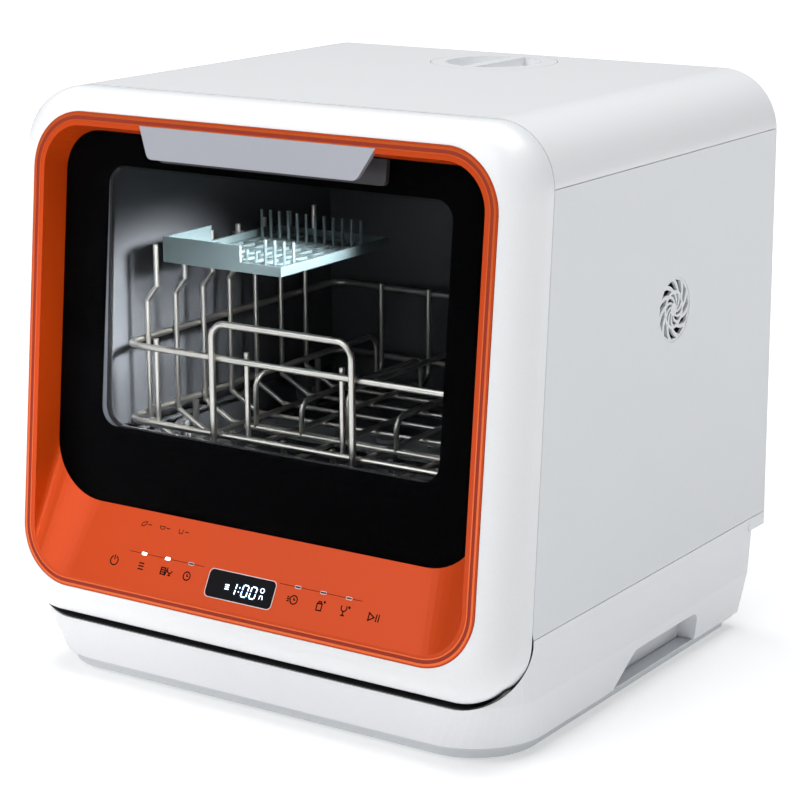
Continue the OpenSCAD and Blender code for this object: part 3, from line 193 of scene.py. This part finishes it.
LOOKS = {
    "white": ["top_cover", "door_shell", "filler_cap"],
    "panel": ["side_panel_left", "side_panel_right", "vent_grille"],
    "base": ["base"],
    "plate": ["bottom_plate"],
    "grey": ["back_panel", "inlet_connector", "drain_connector"],
    "dark": ["sill_trim", "sump", "wash_pump", "drain_pump", "fan_housing", "cord_gland",
             "door_lock", "fan_rotor"],
    "copper": ["front_panel"],
    "mask": ["glass_mask"],
    "silver": ["handle"],
    "bar": ["handle_pocket"],
    "tub": ["tub", "roller_rails"],
    "liner": ["door_liner", "detergent_dispenser"],
    "rubber": ["feet", "tub_gasket", "inner_glass_seal", "cap_seal"],
    "wire": ["rack", "side_wires", "front_wires", "floor_wires", "plate_tines", "roller_axles"],
    "tray": ["cutlery_tray"],
    "roller": ["roller_front_left", "roller_front_right", "roller_rear_left",
               "roller_rear_right", "spray_arm", "spray_hub", "dispenser_lid"],
    "steel": ["heater", "hinge_brackets", "hinge_pins", "hinge_arms", "door_strike", "filter"],
    "board": ["power_board", "control_board"],
    "tank": ["water_tank", "filler_duct"],
    "display": ["display_window"],
    "lens": ["led_lenses"],
    "tinted": ["door_glass"],
    "clear": ["inner_glass"],
}
for look, names in LOOKS.items():
    for name in names:
        mesh = nodes[name].data
        mesh.materials.clear()
        mesh.materials.append(MATS[look])


# ---------- flat artwork on the control slope and the glass ----------

def finish_piece(name, bm, look, body="door"):
    """Turns the mesh into a named piece that rides on a body and shows one look."""
    mesh = bpy.data.meshes.new(name)
    bmesh.ops.recalc_face_normals(bm, faces=bm.faces)
    bm.to_mesh(mesh)
    bm.free()
    obj = bpy.data.objects.new(name, mesh)
    bpy.context.scene.collection.objects.link(obj)
    mesh.materials.append(MATS[look])
    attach(obj, body)


def plate(bm, outline, place, y0, y1):
    """A closed prism on an outline of x and z, from y0 to y1 in the given frame."""
    front = [bm.verts.new(place(x, y0, z)) for x, z in outline]
    back = [bm.verts.new(place(x, y1, z)) for x, z in outline]
    n = len(outline)
    bm.faces.new(front)
    bm.faces.new(back[::-1])
    for i in range(n):
        j = (i + 1) % n
        bm.faces.new((front[i], back[i], back[j], front[j]))


def offsets(points, width, closed):
    """The two edges of a line of the given width, with mitred bends."""
    n = len(points)
    left, right = [], []
    for i, p in enumerate(points):
        p = Vector(p)
        before = Vector(points[i - 1]) if i or closed else None
        after = Vector(points[(i + 1) % n]) if i < n - 1 or closed else None
        a = (p - before).normalized() if before is not None else (after - p).normalized()
        b = (after - p).normalized() if after is not None else a
        half = (a + b)
        half = half.normalized() if half.length > 1e-6 else a
        normal = Vector((-half.y, half.x))
        grow = width / 2 / max(half.dot(a), 0.4)
        left.append(p + normal * grow)
        right.append(p - normal * grow)
    return left, right


def stroke(bm, points, width, place, y0, y1, closed=False):
    """A line of square section along points of x and z, from y0 to y1 in the given frame."""
    left, right = offsets(points, width, closed)
    n = len(points)
    rows = [[bm.verts.new(place(q.x, y, q.y)) for q in side]
            for side, y in ((left, y0), (right, y0), (right, y1), (left, y1))]
    for i in range(n if closed else n - 1):
        j = (i + 1) % n
        for k in range(4):
            a, b = rows[k], rows[(k + 1) % 4]
            bm.faces.new((a[i], a[j], b[j], b[i]))
    if not closed:
        bm.faces.new([row[0] for row in rows])
        bm.faces.new([row[-1] for row in rows][::-1])


def arc(cx, cz, r, a0, a1, n=20):
    return [(cx + r * math.cos(math.radians(a0 + (a1 - a0) * i / n)),
             cz + r * math.sin(math.radians(a0 + (a1 - a0) * i / n))) for i in range(n + 1)]


def ring(cx, cz, r, n=24):
    return arc(cx, cz, r, 0, 360 - 360 / n, n - 1)


def shift(points, cx, cz):
    return [(x + cx, z + cz) for x, z in points]


def round_box(x0, x1, z0, z1, r_low, r_top, n=8):
    """Outline of a box with rounded lower and upper corners."""
    return (arc(x1 - r_low, z0 + r_low, r_low, -90, 0, n)
            + arc(x1 - r_top, z1 - r_top, r_top, 0, 90, n)
            + arc(x0 + r_top, z1 - r_top, r_top, 90, 180, n)
            + arc(x0 + r_low, z0 + r_low, r_low, 180, 270, n))


# Sizes of the artwork in mm. Heights are measured up the control slope, depths into it.
PRINT_Y = (-0.06, 0.02)
KEY_T, LEGEND_T, HAIRLINE_T = 18.0, 48.3, 27.2
LEGEND_X = (-97.8, -80.8, -63.8)
HAIRLINES = ((-103.5, -35), (31.4, 100.9))
LINE, LEGEND_LINE, DASH_LINE, HAIRLINE = 0.9, 0.55, 0.6, 0.35
LED_T = (26.3, 28.1)
LEDS_LIT, LEDS_DARK = (-90, -68.5), (-47, 47, 68.5, 90)
LED_HALF, LED_RIM_HALF = 2.1, 2.5
PANEL_HW, PANEL_L, PANEL_R = 196.3, 346.0, 42.0


def key_art():
    """Generic symbols: each is a list of (points, closed) about its own centre."""
    plus = [([(-1, 0), (1, 0)], False), ([(0, -1), (0, 1)], False)]

    def at(art, cx, cz):
        return [(shift(p, cx, cz), c) for p, c in art]

    clock = [(ring(0, 0, 3.0), True), ([(0, 1.7), (0, 0), (1.5, 0)], False)]
    return {
        -115: [(arc(0, 0, 3.4, 115, 425), False), ([(0, 0.6), (0, 4.2)], False)],
        -90: [([(-2.4, z), (2.4, z)], False) for z in (-2.2, 0, 2.2)],
        -67: [([(-4.6, -2.4), (-0.8, -2.4), (-0.8, 2.4), (-4.6, 2.4)], True),
              ([(-4.6, 0.8), (-0.8, 0.8)], False), ([(-4.6, -0.8), (-0.8, -0.8)], False),
              ([(-0.4, -3.2), (1.2, 3.2)], False), (arc(3.4, 1.2, 2.0, 180, 360, 10), False),
              ([(3.4, -0.8), (3.4, -2.4)], False), ([(2.2, -2.4), (4.6, -2.4)], False)],
        -48: clock,
        45: at(clock, 1.2, 0) + [([(-4.6, z), (-2.4 - abs(z) * 0.2, z)], False)
                                 for z in (-1.4, 0, 1.4)],
        68: [([(-2, -3.4), (2, -3.4), (2, 1.4), (-2, 1.4)], True),
             ([(-1, 1.4), (-1, 2.8), (1, 2.8), (1, 1.4)], False)] + at(plus, 3.6, 3.0),
        88: [(arc(0, 2.0, 2.3, 180, 360, 12), False), ([(-2.3, 2.0), (-2.0, 3.6)], False),
             ([(2.3, 2.0), (2.0, 3.6)], False), ([(0, -0.3), (0, -3.2)], False),
             ([(-1.6, -3.2), (1.6, -3.2)], False)] + at(plus, 4.2, 3.0),
        113: [([(-4.0, -2.7), (-4.0, 2.7), (0.4, 0)], True), ([(2.2, -2.7), (2.2, 2.7)], False),
              ([(4.2, -2.7), (4.2, 2.7)], False)],
    }


def draw_key_symbols():
    bm = bmesh.new()
    for x, art in key_art().items():
        for points, closed in art:
            stroke(bm, shift(points, x, KEY_T), LINE, in_controls, *PRINT_Y, closed)
    finish_piece("key_symbols", bm, "print")


def draw_hairlines():
    bm = bmesh.new()
    for x0, x1 in HAIRLINES:
        stroke(bm, [(x0, HAIRLINE_T), (x1, HAIRLINE_T)], HAIRLINE, in_controls, *PRINT_Y)
    finish_piece("key_hairlines", bm, "print")


def draw_programs():
    """Leaf, dish and cup, each with a dash, in place of the lettered legends."""
    leaf = [(-2.2, -1.2), (0, -1.6), (2.2, 0.4), (2.4, 2.0), (0.4, 1.6), (-1.6, 0.4)]
    dish = arc(0, 1.0, 2.2, 180, 360, 10)
    cup = [(-1.8, 1.6), (-1.4, -1.4), (1.4, -1.4), (1.8, 1.6)]
    dash = [(3.6, 0.2), (7.2, 0.2)]
    bm = bmesh.new()
    for x, (points, closed) in zip(LEGEND_X, ((leaf, True), (dish, True), (cup, False))):
        stroke(bm, shift(points, x, LEGEND_T), LEGEND_LINE, in_controls, *PRINT_Y, closed)
        stroke(bm, shift(dash, x, LEGEND_T), DASH_LINE, in_controls, *PRINT_Y)
    finish_piece("program_symbols", bm, "print")


def draw_leds():
    """Glow on the lit lenses and a thin rim round the dark ones."""
    bm = bmesh.new()
    for x in LEDS_LIT:
        pill = round_box(x - LED_HALF, x + LED_HALF, *LED_T, 0.4, 0.4, 3)
        plate(bm, pill, in_controls, -0.1, 0.1)
    finish_piece("led_glow", bm, "lit")
    bm = bmesh.new()
    for x in LEDS_DARK:
        pill = round_box(x - LED_RIM_HALF, x + LED_RIM_HALF, *LED_T, 0.8, 0.8, 4)
        stroke(bm, pill, HAIRLINE, in_controls, *PRINT_Y, True)
    finish_piece("led_rims", bm, "outline")


# Strokes of a digit in parts of its width and height, and the strokes that each digit lights.
SEGMENTS = {"0": "abcdef", "1": "bc"}
SHAPE = {"a": ((0.12, 1), (0.88, 1)), "b": ((1, 0.94), (1, 0.56)), "c": ((1, 0.44), (1, 0.06)),
         "d": ((0.12, 0), (0.88, 0)), "e": ((0, 0.44), (0, 0.06)), "f": ((0, 0.94), (0, 0.56))}
DIGITS = ((-8.2, "1"), (2.2, "0"), (9.4, "0"))
DIGIT_W, DIGIT_H, DIGIT_FOOT, DIGIT_LEAN, DIGIT_LINE = 4.6, 8.4, 12.2, 0.10, 0.85
DISPLAY_Y = (-0.75, -0.6)


def draw_display():
    """A time in segments, with a small mark at its left and two at its right."""
    bm = bmesh.new()
    for x0, digit in DIGITS:
        for key in SEGMENTS[digit]:
            points = [(x0 + u * DIGIT_W + v * DIGIT_H * DIGIT_LEAN, DIGIT_FOOT + v * DIGIT_H)
                      for u, v in SHAPE[key]]
            stroke(bm, points, DIGIT_LINE, in_controls, *DISPLAY_Y)
    for z in (15, 18):
        plate(bm, ring(-0.6 + (z - 12) * DIGIT_LEAN, z, 0.5, 10), in_controls, *DISPLAY_Y)
    for k in range(3):
        bar = [(x, 15.2 + k * 1.5) for x in (-12.6, -9.2)]
        stroke(bm, bar, 0.7, in_controls, *DISPLAY_Y)
    stroke(bm, ring(19.4, 19.4, 1.6, 14), 0.5, in_controls, *DISPLAY_Y, True)
    arch = [(18.0, 13.0), (18.6, 15.6), (20.4, 15.6), (21.0, 13.0)]
    stroke(bm, arch, 0.5, in_controls, *DISPLAY_Y)
    finish_piece("display_segments", bm, "digit")
    bm = bmesh.new()
    frame_line = round_box(-29.2, 29.2, 7.3, 27.7, 3.2, 3.2)
    stroke(bm, frame_line, 0.5, in_controls, -0.12, 0.3, True)
    finish_piece("display_border", bm, "outline")


# The clear window in the print, in the door's frame: half width, foot, head and corner.
WINDOW_HW, WINDOW_Z0, WINDOW_Z1, WINDOW_R = 154, 111, 314, 19
DOT_BAND, DOT_PITCH, DOT_ROW, DOT_Y = 8.0, 1.5, 0.866, 26.68


def draw_halftone():
    """Dots of the black print that thin out towards the clear window."""
    half_h, mid = (WINDOW_Z1 - WINDOW_Z0) / 2, (WINDOW_Z0 + WINDOW_Z1) / 2
    bm = bmesh.new()
    for i in range(int(2 * half_h / (DOT_PITCH * DOT_ROW)) + 1):
        z = WINDOW_Z0 + i * DOT_PITCH * DOT_ROW
        for j in range(int(2 * WINDOW_HW / DOT_PITCH) + 1):
            x = -WINDOW_HW + (j + (i % 2) / 2) * DOT_PITCH
            dx = max(abs(x) - (WINDOW_HW - WINDOW_R), 0)
            dz = max(abs(z - mid) - (half_h - WINDOW_R), 0)
            inside = WINDOW_R - math.hypot(dx, dz)
            if dx == 0 or dz == 0:
                inside = min(WINDOW_HW - abs(x), half_h - abs(z - mid))
            if 0.3 < inside < DOT_BAND:
                size = 0.62 * (1 - inside / DOT_BAND) ** 0.5 + 0.1
                dot = [bm.verts.new(in_door(px, DOT_Y, pz)) for px, pz in ring(x, z, size, 7)]
                bm.faces.new(dot)
    finish_piece("halftone_print", bm, "mask")


# Each line's name, inset from the panel's edge, width, front face and look. The bead and inner
# line are painted highlight, the middle band painted groove shade.
RIM = (("rim_bead_highlight", 1.9, 1.7, -0.28, "copper_painted_highlight"),
       ("rim_shade_band", 4.0, 2.3, -0.05, "groove_shade"),
       ("rim_highlight_line", 5.7, 0.9, -0.16, "copper_painted_highlight"))


def draw_rim():
    """Raised bead and inner line in painted highlight, with a flat band of painted groove shade
    between them, that run round the panel's flat rim.
    """
    for name, inset, width, y0, look in RIM:
        bm = bmesh.new()
        outline = round_box(-PANEL_HW + inset, PANEL_HW - inset, inset, PANEL_L - inset,
                            PANEL_R - inset, PANEL_R - inset, 14)
        stroke(bm, outline, width, in_door, y0, 0.05, True)
        finish_piece(name, bm, look)


draw_key_symbols()
draw_hairlines()
draw_programs()
draw_leds()
draw_rim()
draw_display()
draw_halftone()


# ---------- stage ----------

FLOOR_HALF = 9
NEAR, FAR = 0.5, 2.2
NEAR_GLOW, FAR_GLOW = 0.3, 1.0
SKY = 0.22


def sweep_material():
    """White floor that brightens into the white background away from the object."""
    m = material("floor_white", (0.92, 0.92, 0.92), 0.6, scale=4, vary=0.01)
    t = m.node_tree
    b = t.nodes["Principled BSDF"]
    b.inputs["Emission Color"].default_value = (1, 1, 1, 1)
    coord = t.nodes.new("ShaderNodeTexCoord")
    far = t.nodes.new("ShaderNodeVectorMath")
    far.operation = "LENGTH"
    t.links.new(coord.outputs["Object"], far.inputs[0])
    fade = t.nodes.new("ShaderNodeMapRange")
    fade.inputs["From Min"].default_value = NEAR
    fade.inputs["From Max"].default_value = FAR
    fade.inputs["To Min"].default_value = NEAR_GLOW
    fade.inputs["To Max"].default_value = FAR_GLOW
    t.links.new(far.outputs["Value"], fade.inputs["Value"])
    t.links.new(fade.outputs["Result"], b.inputs["Emission Strength"])
    return m


def stage():
    bm = bmesh.new()
    bmesh.ops.create_grid(bm, x_segments=1, y_segments=1, size=FLOOR_HALF)
    mesh = bpy.data.meshes.new("floor")
    bm.to_mesh(mesh)
    bm.free()
    floor = bpy.data.objects.new("floor", mesh)
    bpy.context.scene.collection.objects.link(floor)
    mesh.materials.append(sweep_material())


def area(name, place, aim, size, power, spread=180):
    """A soft box of the given size in metres that shines from place to aim."""
    data = bpy.data.lights.new(name, "AREA")
    data.shape = "RECTANGLE"
    data.size, data.size_y = size
    data.energy = power
    data.spread = math.radians(spread)
    obj = bpy.data.objects.new(name, data)
    obj.location = place
    obj.rotation_euler = (Vector(aim) - Vector(place)).to_track_quat("-Z", "Y").to_euler()
    bpy.context.scene.collection.objects.link(obj)


def lights():
    """Key and top light, and two small lamps for the frame's left wall and the chamber."""
    world = bpy.data.worlds.new("world")
    world.use_nodes = True
    t = world.node_tree
    back = t.nodes["Background"]
    path = t.nodes.new("ShaderNodeLightPath")
    seen = t.nodes.new("ShaderNodeBackground")
    seen.inputs["Color"].default_value = (1, 1, 1, 1)
    seen.inputs["Strength"].default_value = 1.0
    back.inputs["Color"].default_value = (0.93, 0.96, 1, 1)
    back.inputs["Strength"].default_value = SKY
    mix = t.nodes.new("ShaderNodeMixShader")
    t.links.new(path.outputs["Is Camera Ray"], mix.inputs["Fac"])
    t.links.new(back.outputs["Background"], mix.inputs[1])
    t.links.new(seen.outputs["Background"], mix.inputs[2])
    t.links.new(mix.outputs["Shader"], t.nodes["World Output"].inputs["Surface"])
    bpy.context.scene.world = world
    area("key", (-0.9, -2.5, 2.1), (0, 0, 0.2), (2.6, 2.2), 41)
    area("frame_side", (0.32, -0.80, 0.30), (-0.19, -0.22, 0.24), (0.1, 0.3), 0.13, 30)
    area("top", (0.0, 0.1, 2.3), (0, 0, 0.2), (2.4, 2.0), 49)
    area("chamber", (0.04, -0.10, 0.375), (-0.157, -0.10, 0.24), (0.10, 0.04), 0.75, 45)


camera()
stage()
lights()
bpy.context.scene.view_settings.view_transform = "Standard"
